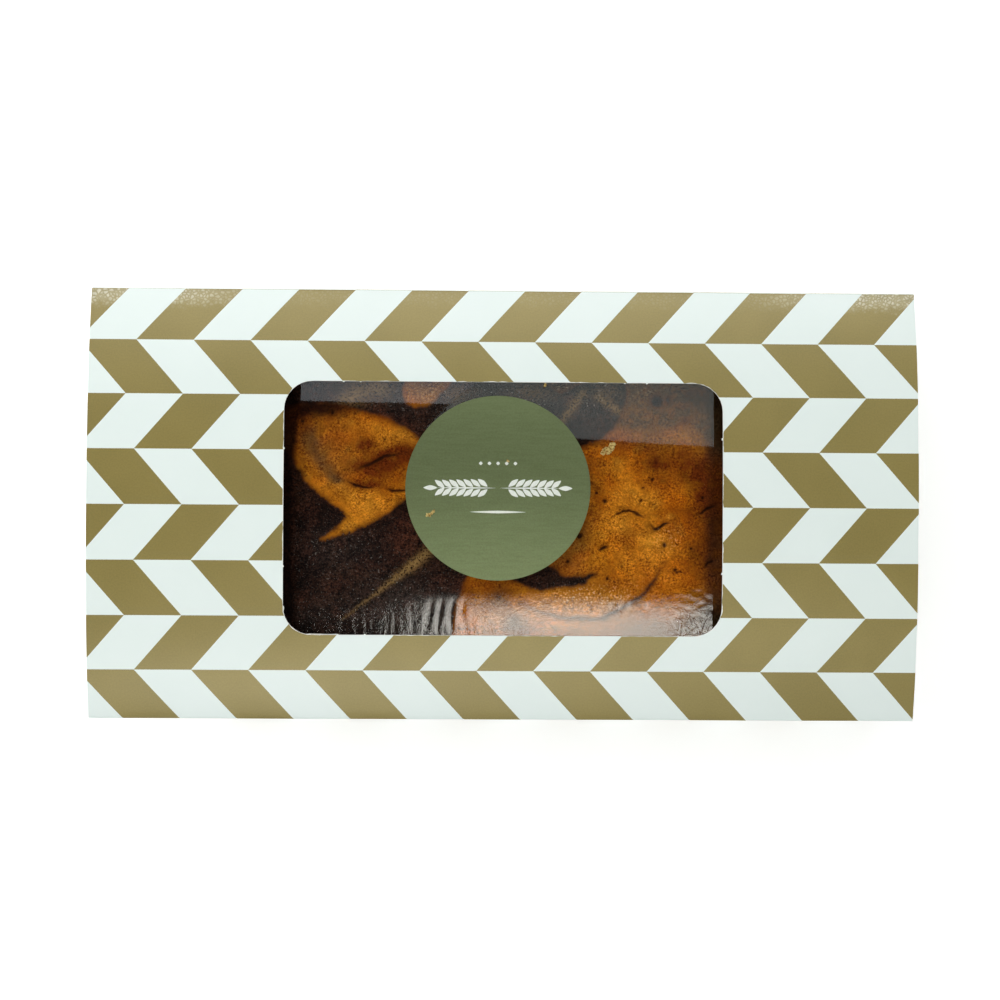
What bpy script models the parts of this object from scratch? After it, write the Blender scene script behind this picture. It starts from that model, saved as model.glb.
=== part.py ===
"""Boxed marble loaf cake.

A folded board carton whose top panel is pushed up into a low arch by the loaf inside it.
The top panel has a window with clear film behind it, and a round label on the film.
Metres, +Z up. The origin is on the ground under the middle of the carton, with +X along it.
"""

import math

import bmesh
import bpy
from mathutils import Matrix

# Carton
LENGTH = 0.2500
WIDTH = 0.1305
WALL_HEIGHT = 0.0620
ARCH_RISE = 0.0091
ARCH_FULLNESS = 0.305       # share of the rise that lies close to the creases
BOARD = 0.0005
CREASE_RADIUS = 0.0010
END_RECESS = 0.0008         # how far the end panels stand inside the ends of the side walls
ARCH_STEPS = 28
CORNER_STEPS = 4

# Window in the top panel
WINDOW_LENGTH = 0.1320
WINDOW_WIDTH = 0.0764
WINDOW_RADIUS = 0.0085
WINDOW_CENTRE_X = -0.0002
WINDOW_CENTRE_Y = -0.0013
WINDOW_CORNER_STEPS = 8

# Film behind the window, a strip from front to back that is a little shorter than the window
GAP = 0.0003                # kept between neighbouring pieces
FILM = 0.0003
FILM_LENGTH = 0.1244
FILM_WIDTH = 0.0960
FILM_CENTRE_X = 0.0009

# Round label on the film
LABEL_DIAMETER = 0.0556
LABEL_THICKNESS = 0.0002
LABEL_CENTRE_X = -0.0019
LABEL_CENTRE_Y = 0.0049
LABEL_SIDES = 72

# Loaf
CAKE_LENGTH = 0.2280
CAKE_WIDTH = 0.1140
CAKE_SHOULDER = 0.0575      # height of the sides, where the dome starts
CAKE_DOME = 0.0095
CAKE_TAPER = 0.07           # how much narrower the base is than the shoulder, as in a loaf tin
CAKE_CUTS = 9


def drop(y):
    """How far the arch has fallen below its crown at a distance y from the middle."""
    t = y / (WIDTH / 2)
    return ARCH_RISE * ((1 - ARCH_FULLNESS) * t**2 + ARCH_FULLNESS * t**4)


def slope(y):
    """Angle of the arch at y, from level."""
    t = y / (WIDTH / 2)
    return math.atan(ARCH_RISE / (WIDTH / 2) * (2 * (1 - ARCH_FULLNESS) * t + 4 * ARCH_FULLNESS * t**3))


def arch_point(y, inset):
    """A point of the arch, moved into the carton by inset along the normal."""
    angle = slope(y)
    height = WALL_HEIGHT + ARCH_RISE - drop(y)
    return y - inset * math.sin(angle), height - inset * math.cos(angle)


def arch_points(y_from, y_to, inset, steps):
    return [arch_point(y_from + (y_to - y_from) * n / steps, inset) for n in range(steps + 1)]


def corner(y, z, radius, start, end):
    """Points of a rounded corner about (y, z), between two angles."""
    angles = [start + (end - start) * n / CORNER_STEPS for n in range(CORNER_STEPS + 1)]
    return [(y + radius * math.cos(a), z + radius * math.sin(a)) for a in angles]


def section(inset):
    """The carton's outline across its length, at a depth of inset below the printed face."""
    radius = CREASE_RADIUS - inset
    side = WIDTH / 2 - CREASE_RADIUS
    lean = slope(WIDTH / 2)
    arch_end = side + CREASE_RADIUS * math.sin(lean)
    crease_y, crease_z = arch_point(arch_end, CREASE_RADIUS)
    right = corner(side, CREASE_RADIUS, radius, -math.pi / 2, 0)
    right += corner(crease_y, crease_z, radius, 0, math.pi / 2 - slope(arch_end))
    top = arch_points(arch_end, -arch_end, inset, ARCH_STEPS)[1:-1]
    left = [(-y, z) for y, z in reversed(right)]
    return right + top + left


def link(obj, collection):
    collection.objects.link(obj)
    return obj


def flat_piece(name, points, thickness, placed, collection):
    """A closed flat outline given an equal thickness on each side of its plane, as a mesh."""
    curve = bpy.data.curves.new(name, "CURVE")
    curve.dimensions = "2D"
    curve.fill_mode = "BOTH"
    curve.extrude = thickness / 2
    spline = curve.splines.new("POLY")
    spline.points.add(len(points) - 1)
    for place, (across, up) in zip(spline.points, points):
        place.co = (across, up, 0, 1)
    spline.use_cyclic_u = True
    outline = link(bpy.data.objects.new(name + "_outline", curve), collection)
    outline.matrix_world = placed
    bpy.context.view_layer.update()
    evaluated = outline.evaluated_get(bpy.context.evaluated_depsgraph_get())
    mesh = bpy.data.meshes.new_from_object(evaluated)
    mesh.name = name
    bm = bmesh.new()
    bm.from_mesh(mesh)
    bmesh.ops.remove_doubles(bm, verts=bm.verts, dist=1e-6)
    bmesh.ops.recalc_face_normals(bm, faces=bm.faces)
    bm.to_mesh(mesh)
    bm.free()
    piece = link(bpy.data.objects.new(name, mesh), collection)
    piece.matrix_world = placed
    bpy.data.objects.remove(outline)
    return piece


def across_section(x):
    """Turns a flat outline, drawn as (y, z), to stand across the carton at x."""
    upright = Matrix(((0, 0, 1, 0), (1, 0, 0, 0), (0, 1, 0, 0), (0, 0, 0, 1)))
    return Matrix.Translation((x, 0, 0)) @ upright


def boolean(piece, cutter, operation):
    cutter.hide_render = True
    cutter.display_type = "WIRE"
    cut = piece.modifiers.new(cutter.name, "BOOLEAN")
    cut.operation = operation
    cut.solver = "EXACT"
    cut.object = cutter


def rounded_rectangle(length, width, radius, x, y):
    points = []
    for quarter, (sign_x, sign_y) in enumerate(((1, 1), (-1, 1), (-1, -1), (1, -1))):
        centre_x = x + sign_x * (length / 2 - radius)
        centre_y = y + sign_y * (width / 2 - radius)
        for n in range(WINDOW_CORNER_STEPS + 1):
            angle = (quarter + n / WINDOW_CORNER_STEPS) * math.pi / 2
            points.append((centre_x + radius * math.cos(angle), centre_y + radius * math.sin(angle)))
    return points


def arched_sheet(name, inset, thickness, x, y, length, width, collection):
    """A thin sheet that follows the underside of the top panel, with its upper face at inset."""
    bm = bmesh.new()
    line = [bm.verts.new((x - length / 2, across, up))
            for across, up in arch_points(y - width / 2, y + width / 2, inset, ARCH_STEPS)]
    edges = [bm.edges.new(pair) for pair in zip(line, line[1:])]
    swept = bmesh.ops.extrude_edge_only(bm, edges=edges)["geom"]
    far_side = [part for part in swept if isinstance(part, bmesh.types.BMVert)]
    bmesh.ops.translate(bm, verts=far_side, vec=(length, 0, 0))
    bmesh.ops.recalc_face_normals(bm, faces=bm.faces)
    if sum(face.normal.z for face in bm.faces) < 0:
        bmesh.ops.reverse_faces(bm, faces=bm.faces)
    mesh = bpy.data.meshes.new(name)
    bm.to_mesh(mesh)
    bm.free()
    sheet = link(bpy.data.objects.new(name, mesh), collection)
    wall = sheet.modifiers.new("Thickness", "SOLIDIFY")
    wall.thickness = thickness
    wall.offset = -1
    return sheet


def loaf_place(x, y, z):
    """Where a point of the starting cube, each coordinate from -1 to 1, comes on the loaf."""
    plan = (abs(x) ** 5 + abs(y) ** 5) ** 0.2
    reach = max(abs(x), abs(y))
    if plan > 0:
        x = x * reach / plan
        y = y * reach / plan
    level = (z + 1) / 2
    edge = max(abs(x), abs(y))
    girth = 1 - CAKE_TAPER * (1 - level) - 0.035 * max(0, level - 0.8) / 0.2
    dome = CAKE_DOME * (1 - x**4) * (1 - y**2) * level**3
    rounding = 0.006 * edge**8 * level**6
    unevenness = 0.0006 * level * (math.sin(5 * x + 1) + math.sin(4 * y + 3 * x))
    half_x = CAKE_LENGTH / 2 * girth
    half_y = CAKE_WIDTH / 2 * girth
    height = CAKE_SHOULDER * level + dome - rounding + unevenness
    return x * half_x, y * half_y, BOARD + GAP + height


def make_material(name, colour, roughness, metallic=0.0, alpha=1.0):
    material = bpy.data.materials.new(name)
    material.use_nodes = True
    shader = material.node_tree.nodes["Principled BSDF"]
    shader.inputs["Base Color"].default_value = (*colour, 1)
    shader.inputs["Roughness"].default_value = roughness
    shader.inputs["Metallic"].default_value = metallic
    shader.inputs["Alpha"].default_value = alpha
    return material


def make_carton(parts, cutters):
    """One board blank, folded into a tube and closed at both ends by panels glued inside it."""
    carton = flat_piece("carton", section(0), LENGTH, across_section(0), parts)
    cavity_length = LENGTH - 2 * (END_RECESS + BOARD)
    cavity = flat_piece("carton_cavity", section(BOARD), cavity_length, across_section(0), cutters)
    boolean(carton, cavity, "DIFFERENCE")
    for side, name in ((-1, "carton_end_left"), (1, "carton_end_right")):
        pocket = flat_piece(name, section(BOARD), 2 * END_RECESS, across_section(side * LENGTH / 2), cutters)
        boolean(carton, pocket, "DIFFERENCE")
    outline = rounded_rectangle(WINDOW_LENGTH, WINDOW_WIDTH, WINDOW_RADIUS, WINDOW_CENTRE_X, WINDOW_CENTRE_Y)
    through_top = Matrix.Translation((0, 0, WALL_HEIGHT + ARCH_RISE))
    window = flat_piece("carton_window", outline, 4 * ARCH_RISE, through_top, cutters)
    boolean(carton, window, "DIFFERENCE")
    carton.data.materials.append(make_material("printed_board", (0.62, 0.58, 0.44), 0.45, 0.2))


def make_film(parts):
    film = arched_sheet("window_film", BOARD + GAP, FILM, FILM_CENTRE_X, WINDOW_CENTRE_Y,
                        FILM_LENGTH, FILM_WIDTH, parts)
    film.data.materials.append(make_material("clear_film", (0.9, 0.92, 0.93), 0.08, 0.0, 0.25))


def make_label(parts, cutters):
    """A disc of paper stuck on the film, bent to the same arch."""
    span = LABEL_DIAMETER * 1.1
    inset = BOARD - LABEL_THICKNESS
    label = arched_sheet("label", inset, LABEL_THICKNESS, LABEL_CENTRE_X, LABEL_CENTRE_Y, span, span, parts)
    disc = bmesh.new()
    placed = Matrix.Translation((LABEL_CENTRE_X, LABEL_CENTRE_Y, WALL_HEIGHT + ARCH_RISE))
    bmesh.ops.create_cone(disc, cap_ends=True, segments=LABEL_SIDES, radius1=LABEL_DIAMETER / 2,
                          radius2=LABEL_DIAMETER / 2, depth=2 * ARCH_RISE, matrix=placed)
    mesh = bpy.data.meshes.new("label_disc")
    disc.to_mesh(mesh)
    disc.free()
    cutter = link(bpy.data.objects.new("label_disc", mesh), cutters)
    boolean(label, cutter, "INTERSECT")
    label.data.materials.append(make_material("label_paper", (0.16, 0.20, 0.09), 0.4))


def make_cake(parts):
    """The loaf: sides that taper to the base as the tin does, and a low uneven dome."""
    bm = bmesh.new()
    bmesh.ops.create_cube(bm, size=2)
    bmesh.ops.subdivide_edges(bm, edges=bm.edges, cuts=CAKE_CUTS, use_grid_fill=True)
    for vert in bm.verts:
        vert.co = loaf_place(*vert.co)
    mesh = bpy.data.meshes.new("cake")
    bm.to_mesh(mesh)
    bm.free()
    mesh.shade_smooth()
    cake = link(bpy.data.objects.new("cake", mesh), parts)
    smooth = cake.modifiers.new("Crumb", "SUBSURF")
    smooth.levels = 1
    smooth.render_levels = 1
    cake.data.materials.append(make_material("cake_crumb", (0.42, 0.16, 0.02), 0.75))


def build():
    for obj in list(bpy.data.objects):
        bpy.data.objects.remove(obj)
    parts = bpy.data.collections.new("boxed_marble_loaf_cake")
    cutters = bpy.data.collections.new("cutters")
    bpy.context.scene.collection.children.link(parts)
    bpy.context.scene.collection.children.link(cutters)
    make_carton(parts, cutters)
    make_film(parts)
    make_label(parts, cutters)
    make_cake(parts)


build()
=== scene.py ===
"""A boxed marble loaf cake: the loaf, the printed carton folded round it, the clear film in the
carton's window, the round label on the film, and the few crumbs that lie on them."""

import math

import bmesh
import bpy
import numpy as np
from mathutils import Matrix, Vector, noise


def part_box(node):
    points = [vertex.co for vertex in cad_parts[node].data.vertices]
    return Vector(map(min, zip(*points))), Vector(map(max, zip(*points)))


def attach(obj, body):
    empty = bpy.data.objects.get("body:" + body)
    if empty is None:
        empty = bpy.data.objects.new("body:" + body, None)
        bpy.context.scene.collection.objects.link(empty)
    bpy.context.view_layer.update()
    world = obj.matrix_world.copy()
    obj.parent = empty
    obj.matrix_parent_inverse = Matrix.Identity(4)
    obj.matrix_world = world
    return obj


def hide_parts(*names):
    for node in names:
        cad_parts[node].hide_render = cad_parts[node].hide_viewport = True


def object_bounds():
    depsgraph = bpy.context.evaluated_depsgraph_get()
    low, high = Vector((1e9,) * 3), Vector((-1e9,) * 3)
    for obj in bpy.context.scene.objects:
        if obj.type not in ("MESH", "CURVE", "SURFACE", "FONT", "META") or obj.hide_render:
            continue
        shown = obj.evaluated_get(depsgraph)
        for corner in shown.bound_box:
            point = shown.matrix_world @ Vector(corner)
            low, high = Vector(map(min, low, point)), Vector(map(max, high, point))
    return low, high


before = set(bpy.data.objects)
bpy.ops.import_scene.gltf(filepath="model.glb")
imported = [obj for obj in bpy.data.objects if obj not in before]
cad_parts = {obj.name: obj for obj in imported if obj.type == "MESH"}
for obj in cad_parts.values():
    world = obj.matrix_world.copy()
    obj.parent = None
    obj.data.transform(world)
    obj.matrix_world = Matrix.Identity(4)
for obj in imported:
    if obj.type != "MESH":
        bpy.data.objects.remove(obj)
cad_low, cad_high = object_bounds()


# Loaf
# A marble loaf: butter batter and dark cocoa batter, run together in a tin and baked. The crust
# is fine and slightly moist, with splits and pin holes, and browner where it rose most. Shade by
# the board's edges, in the splits and pores, and a moist sheen with glints are painted into its colour.

MM = 0.001
loaf_low, loaf_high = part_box("cake")
LOAF_HALF_LENGTH = (loaf_high.x - loaf_low.x) / 2
LOAF_HALF_WIDTH = (loaf_high.y - loaf_low.y) / 2
CRUST_CROWN = loaf_high.z - 0.7 * MM
CRUST_RISE = 9.5 * MM
CRUST_SEEN_X = 70 * MM          # the stretch of crust that the window can show
CRUST_SEEN_Y = 42 * MM
CRUST_CELLS = (308, 184)
EDGE_CELLS = 14
TIN_TAPER = 0.07
SIDE_RINGS = 10

# Outlines of the golden batter, in millimetres from the loaf's middle
GOLDEN_LEAF = [
    (-75, 18), (-73, 23.6), (-68.9, 27.5), (-64.7, 29.7), (-58.7, 30.4), (-52.6, 30.4), (-48.1, 29.5),
    (-42.1, 28), (-36, 26.5), (-31.5, 24.1), (-27.8, 21.7), (-22.4, 16.3), (-20.5, 10.3), (-23.8, 4.9),
    (-29.5, 1.5), (-34.3, -2.4), (-39.7, -5.5), (-46.3, -8.5), (-52.3, -10.4), (-55.4, -10.9),
    (-53.8, -9.6), (-50.4, -6.9), (-47.8, -4.3), (-48.4, -2.2), (-52.4, 0.2), (-56, 3.1),
    (-59.6, 6.4), (-62.4, 10.6), (-64.5, 13.9), (-67.6, 17.5),
]
GOLDEN_PATCH = [
    (-30.6, 33), (-29.7, 30.8), (-26.7, 29.3), (-22.5, 30), (-19.2, 33.7), (-16.5, 36.4),
    (-15.9, 40.1), (-18, 50), (-27, 50), (-28, 40), (-30.4, 36.3),
]
GOLDEN_SPOT = [
    (5, 39.5), (9, 37.6), (13, 36.6), (15.6, 34.6), (18.2, 34.2), (22, 36.2), (25.5, 39.2),
    (24, 47), (6, 47),
]
GOLDEN_HALF = [
    (-7.7, -16.8), (-10.1, -20.4), (-12.2, -23.7), (-12.5, -25.8), (-13.7, -28.9), (-14.5, -32.5),
    (-15.4, -39.8), (-17, -58), (40, -60), (116, -60), (120, 0), (116, 60), (60, 60), (38, 56),
    (36.9, 39.9), (37.2, 32.5), (35.6, 28.9), (33.8, 24.3), (31.4, 21.9), (29, 19.7), (25.9, 18.8),
    (16, 14), (6, 6), (-2, -6),
]
# Cocoa batter that runs over the golden
COCOA_HOOK = [
    (2.6, -22.1), (9.5, -18.2), (12.5, -17.9), (14.4, -18.7), (15.9, -19.6), (17.7, -21.1),
    (20.1, -21.7), (23.1, -21.7), (26.2, -20.8), (28.3, -20.8), (25.6, -22.6), (25, -23.8),
    (23.2, -24.3), (18.9, -24.8), (14.7, -25.2), (11.4, -25.7), (8.1, -25.1), (5, -23.6),
]
COCOA_ARC = [
    (52.1, -14.3), (49.7, -17), (47.3, -19.8), (45.8, -22.5), (42.6, -26.8), (38.2, -29.8),
    (32.3, -33.2), (28.1, -34.7), (23.6, -34.3), (16.9, -33.9), (10.1, -32.1), (5.1, -29.8),
]
# Thin runs of golden batter in the cocoa
GOLDEN_STREAK = [
    (-17, -10.5), (-19.2, -12.3), (-22.5, -14.1), (-27, -18.1), (-32.5, -22.2), (-38.1, -26.9),
    (-43.2, -30.7), (-48.9, -35.1),
]
GOLDEN_THREADS = [
    [(23.8, 34), (21.1, 30.3), (17.8, 25.7)],
    [(29, 32.5), (31.7, 30.7), (34.4, 28.6)],
]
# Splits in the crust, each with its width
SPLITS = [
    ([(31, -4.2), (34.5, -2.6), (37.5, -1.6), (41.1, -2.9), (43.6, -4.4)], 1.0),
    ([(43.6, -4.4), (46, -7.2), (48.7, -5.6), (51.3, -5.1)], 1.1),
    ([(58.5, -3.2), (61.7, -1), (65.7, 0.6)], 0.9),
    ([(-46.4, 9.6), (-39.8, 12.3), (-35.9, 14.4), (-29.9, 15.2)], 1.3),
    ([(-48, 7.6), (-45.8, 5.9), (-41.9, 5), (-38, 4.8)], 0.9),
    ([(-35.6, 4.5), (-32.5, 3.9), (-27.5, 4.5)], 1.0),
    ([(28.7, -13.7), (30.3, -12.9), (32, -12.2)], 1.2),
    ([(61, -19), (62.5, -17.2), (64.6, -16.6)], 0.8),
    ([(52, -21), (53.6, -20), (55.8, -20.6)], 0.7),
]
# Pin holes, each with its radius
PIN_HOLES = [
    (28, 3.7, 0.55), (30.5, 1.4, 0.7), (45, 7.9, 0.5), (23, -9.3, 0.8), (-52, 27.6, 0.6),
    (31.6, -22.1, 0.45), (33.7, -23.2, 0.4), (48.8, -12.1, 0.7), (57, -13.1, 0.5), (52.2, -19.4, 0.6),
    (42.2, 5.3, 0.4), (60.5, 2.5, 0.5), (41.5, 1.5, 0.4), (-36, 19.5, 0.4), (-61, 25, 0.4),
    (-24.3, -7.8, 0.4), (-44.5, -19.6, 0.4), (19.4, -17.1, 0.6),
]


def smooth_line(points, closed=False, steps=6):
    """A smooth line through points given in millimetres, as an array of places in metres."""
    points = np.array(points, float) * MM
    if closed:
        guides = np.vstack([points[-1], points, points[:2]])
    else:
        guides = np.vstack([2 * points[0] - points[1], points, 2 * points[-1] - points[-2]])
    line = []
    for before, start, end, after in zip(guides, guides[1:], guides[2:], guides[3:]):
        for t in np.arange(steps) / steps:
            bend = 2 * before - 5 * start + 4 * end - after
            turn = 3 * start - before - 3 * end + after
            line.append(start + ((end - before) * t + bend * t**2 + turn * t**3) / 2)
    line.append(guides[-2])
    return np.array(line)


def distance_to(line, places):
    """How far each place lies from a line, and how far along the line its nearest point is."""
    nearest = np.full(len(places), np.inf)
    along = np.zeros(len(places))
    for step, (start, end) in enumerate(zip(line, line[1:])):
        run = end - start
        t = np.clip((places - start) @ run / (run @ run), 0, 1)
        gap = np.hypot(*(places - start - t[:, None] * run).T)
        along = np.where(gap < nearest, (step + t) / (len(line) - 1), along)
        nearest = np.minimum(nearest, gap)
    return nearest, along


def depth_inside(outline, places):
    """How deep each place lies inside a closed outline, negative outside it."""
    line = smooth_line(outline, closed=True)
    x, y = places.T
    inside = np.zeros(len(places), bool)
    for (x0, y0), (x1, y1) in zip(line, line[1:]):
        if y0 != y1:
            inside ^= ((y0 > y) != (y1 > y)) & (x < (x1 - x0) * (y - y0) / (y1 - y0) + x0)
    gap, _ = distance_to(line, places)
    return np.where(inside, gap, -gap)


def waves(places, size, seed):
    """Smooth unevenness from -1 to 1 at each place, with bumps of the given size."""
    return np.array([noise.noise(Vector((x / size, y / size, seed))) for x, y in places])


def blotch(places, x, y, radius_x, radius_y, turn=0):
    """A soft oval spot, 1 at its middle; its place and radii are in millimetres."""
    cos, sin = math.cos(math.radians(turn)), math.sin(math.radians(turn))
    u, v = (places / MM - (x, y)).T
    return np.exp(-(((cos * u + sin * v) / radius_x) ** 2 + ((cos * v - sin * u) / radius_y) ** 2))


def grid_lines(half, seen, seen_cells):
    """Places of the crust's grid lines: close together in the seen stretch, wide outside it."""
    edge = np.linspace(seen, half, EDGE_CELLS + 1)[1:]
    return np.concatenate([-edge[::-1], np.linspace(-seen, seen, seen_cells + 1), edge])


def split_depth(places):
    """How deep the splits and pin holes go at each place, from 0 to 1."""
    depth = np.zeros(len(places))
    ragged = places + 0.35 * MM * np.stack([waves(places, 1.3 * MM, 3), waves(places, 1.3 * MM, 7)], 1)
    for points, width in SPLITS:
        gap, along = distance_to(smooth_line(points), ragged)
        taper = np.sin(np.pi * np.clip(along, 0.04, 0.96)) ** 0.6
        depth = np.maximum(depth, taper * np.exp(-((gap / (width * MM / 2)) ** 2)))
    for x, y, radius in PIN_HOLES:
        gap = np.hypot(*(ragged - np.array((x, y)) * MM).T)
        depth = np.maximum(depth, np.exp(-((gap / (1.25 * radius * MM)) ** 2)))
    return depth


def crust_height(places):
    """Height of the loaf's top at each place: the dome, its lumps, and the splits and holes."""
    x = places[:, 0] / LOAF_HALF_LENGTH
    y = places[:, 1] / LOAF_HALF_WIDTH
    fall = 1.15 * x**2 + 0.3 * x**4
    dome = CRUST_RISE * (1 - (1 - fall) * (1 - np.clip(y, -1, 1) ** 2))
    lumps = 0.55 * MM * waves(places, 19 * MM, 1) + 0.22 * MM * waves(places, 6 * MM, 2)
    crumb = 0.07 * MM * waves(places, 1.9 * MM, 4) + 0.04 * MM * waves(places, 0.9 * MM, 5)
    raised = 0.5 * MM * (blotch(places, 38, -6, 6, 4) + blotch(places, 50.5, -3.7, 1.2, 1.0))
    raised += 0.5 * MM * blotch(places, -36, 9, 9, 4, 20)
    return CRUST_CROWN - dome + lumps + crumb + raised - 1.1 * MM * split_depth(places)


def cocoa_depth(places):
    """How far each place lies inside the cocoa batter, in millimetres, negative in the golden."""
    drift = np.stack([waves(places, 2.6 * MM, 11), waves(places, 2.6 * MM, 13)], 1)
    fringe = np.stack([waves(places, 1.1 * MM, 17), waves(places, 1.1 * MM, 19)], 1)
    spots = places + 0.45 * MM * drift + 0.3 * MM * fringe
    golden = np.max([depth_inside(shape, spots) for shape in
                     (GOLDEN_LEAF, GOLDEN_PATCH, GOLDEN_SPOT, GOLDEN_HALF)], axis=0)
    cocoa = np.maximum(-golden, depth_inside(COCOA_HOOK, spots))
    gap, along = distance_to(smooth_line(COCOA_ARC), spots)
    width = MM * np.interp(along, (0, 0.15, 0.3, 0.6, 0.85, 1), (-1.2, -0.5, 0.45, 0.35, 0.1, -0.4))
    cocoa = np.maximum(cocoa, width - gap)
    for x, y, radius in ((46.3, 31.7, 2.2), (49.8, 32.2, 1.1), (56.3, 33.9, 0.6), (55, 26, 0.7)):
        cocoa = np.maximum(cocoa, radius * MM - np.hypot(*(spots - np.array((x, y)) * MM).T) - 0.4 * MM)
    return cocoa / MM


def streaking(places):
    """Where thin runs of golden batter lighten the cocoa, from 0 to 1."""
    spots = places + 0.5 * MM * np.stack([waves(places, 2 * MM, 23), waves(places, 2 * MM, 27)], 1)
    gap, along = distance_to(smooth_line(GOLDEN_STREAK), spots)
    width = MM * np.interp(along, (0, 0.2, 0.4, 0.6, 0.8, 1), (0.8, 1.4, 1.6, 0.9, 0.6, 0.3))
    streak = np.interp(along, (0, 0.2, 0.45, 0.6, 1), (0.3, 0.75, 1.0, 0.7, 0.35)) * np.exp(-((gap / width) ** 2))
    for thread in GOLDEN_THREADS:
        gap, _ = distance_to(smooth_line(thread), spots)
        streak = np.maximum(streak, 0.5 * np.exp(-((gap / (1.3 * MM)) ** 2)))
    streak += 0.6 * blotch(spots, -45, 33.2, 4.2, 3.4, 35) + 0.7 * blotch(spots, -38, 35.5, 4, 3)
    streak += 0.45 * blotch(spots, -49, 31.2, 3.4, 1.6, 20) + 0.3 * blotch(spots, -15, 34, 4, 3)
    streak += 0.3 * blotch(spots, 9, 34.5, 6, 2.5) + 0.25 * blotch(spots, 31, 35, 5, 3)
    return np.clip(streak, 0, 1)


def toasting_and_shade(places):
    """Where the crust is redder and darker, from 0 to 1: toasted places, and painted shade at the window's ends
    where the board shadows the crust.
    """
    spots = places + 1.2 * MM * np.stack([waves(places, 5 * MM, 29), waves(places, 5 * MM, 31)], 1)
    toast_and_shade = 0.75 * blotch(spots, 52, 13, 12, 5, -10) + 0.8 * blotch(spots, 61, 4, 5, 12)
    toast_and_shade += 1.1 * blotch(spots, -37, 12.8, 10, 2.8, 16) + 0.85 * blotch(spots, -41.5, 17.9, 2.8, 2.2)
    toast_and_shade += 1.0 * blotch(spots, -31, 15, 4, 3, 10) + 0.5 * blotch(spots, -37, 8.5, 8, 3, 8)
    toast_and_shade += 0.7 * blotch(spots, -39, 5.3, 6, 1.3, -8) + 0.9 * blotch(spots, -68, 22, 8, 10)
    toast_and_shade += 0.6 * blotch(spots, -4, -26, 9, 7) + 0.6 * blotch(spots, 4, -36, 5, 4)
    toast_and_shade += 0.25 * blotch(spots, 27, 8, 5, 8) + 0.45 * blotch(spots, 40, 19, 14, 2.5) + 0.25 * blotch(spots, 20, -28, 10, 3)
    toast_and_shade += 0.9 * blotch(spots, -56, 28.6, 9, 2.6, 4) + 0.6 * blotch(spots, 60, -17, 5, 9)
    toast_and_shade += 0.5 * blotch(spots, 47, 7, 4, 3) + 0.4 * blotch(spots, 36.5, -10, 3, 3.5, 40)
    toast_and_shade += 0.22 * blotch(places, -46, 18, 19, 11, -20) + 0.35 * blotch(spots, 53, -4, 6, 5) + 0.5 * blotch(spots, -32, 24.5, 9, 1.6, -25) + 0.8 * blotch(spots, -27, -9, 8, 6, 30)
    # Painted shadow of the board's edges at the window's two ends
    toast_and_shade += np.clip((places[:, 0] / MM - 60.5) / 4, 0, 0.85) + np.clip((-62.5 - places[:, 0] / MM) / 4, 0, 1)
    toast_and_shade += 0.45 * np.clip(waves(places, 7 * MM, 53), 0, 1) + 0.3 * np.clip(waves(places, 3.5 * MM, 59), 0, 1)
    return np.clip(toast_and_shade, 0, 1)


def painted_shading(places):
    """Where shade is painted into the crust, from 0 to 1: by the board's edges at the window's ends, in the deep
    front corner, beside the splits, and on a few darker, nearly burnt places.
    """
    spots = places + 0.8 * MM * np.stack([waves(places, 3 * MM, 61), waves(places, 3 * MM, 67)], 1)
    shade = 0.55 * blotch(spots, -67, 24, 6.5, 8) + 0.55 * blotch(spots, -57, 29.4, 9, 2.2, 4)
    shade += 0.4 * blotch(spots, -38, 12.5, 6, 1.9, 18) + 0.3 * blotch(spots, -30.5, 15.3, 3, 2)
    shade += 0.3 * blotch(spots, -52, 24, 16, 3.5, -8) + 0.55 * blotch(spots, -50, 28.4, 13, 2.8) + 0.6 * blotch(places, 15, 38, 9, 6)
    shade += 0.5 * blotch(spots, 60, 33, 14, 6) + 0.5 * blotch(spots, 66, 22, 5, 9)
    shade += 0.3 * blotch(places, -52, -30, 13, 7) + 0.3 * blotch(spots, 22, -2, 3, 14) + 0.35 * blotch(spots, 64, 0, 4, 14)
    shade += 0.3 * blotch(spots, 60, -14, 5, 9) + 0.45 * blotch(spots, 46.3, -7.6, 3.4, 1.2, 20)
    shade += 0.35 * blotch(spots, 36, -1, 5, 1, 8) + 0.3 * blotch(spots, 45, 13, 3, 2)
    shade += 0.3 * blotch(spots, 55, 9, 3, 2.4) + 0.5 * blotch(spots, 63, -35, 6, 6)
    # Ramps at the window's ends: painted shadow of the board's edges on the crust
    shade += 0.22 * np.clip((places[:, 0] / MM - 61) / 3, 0, 1) + np.clip((-62 - places[:, 0] / MM) / 3, 0, 1)
    return np.clip(shade, 0, 1)


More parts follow.
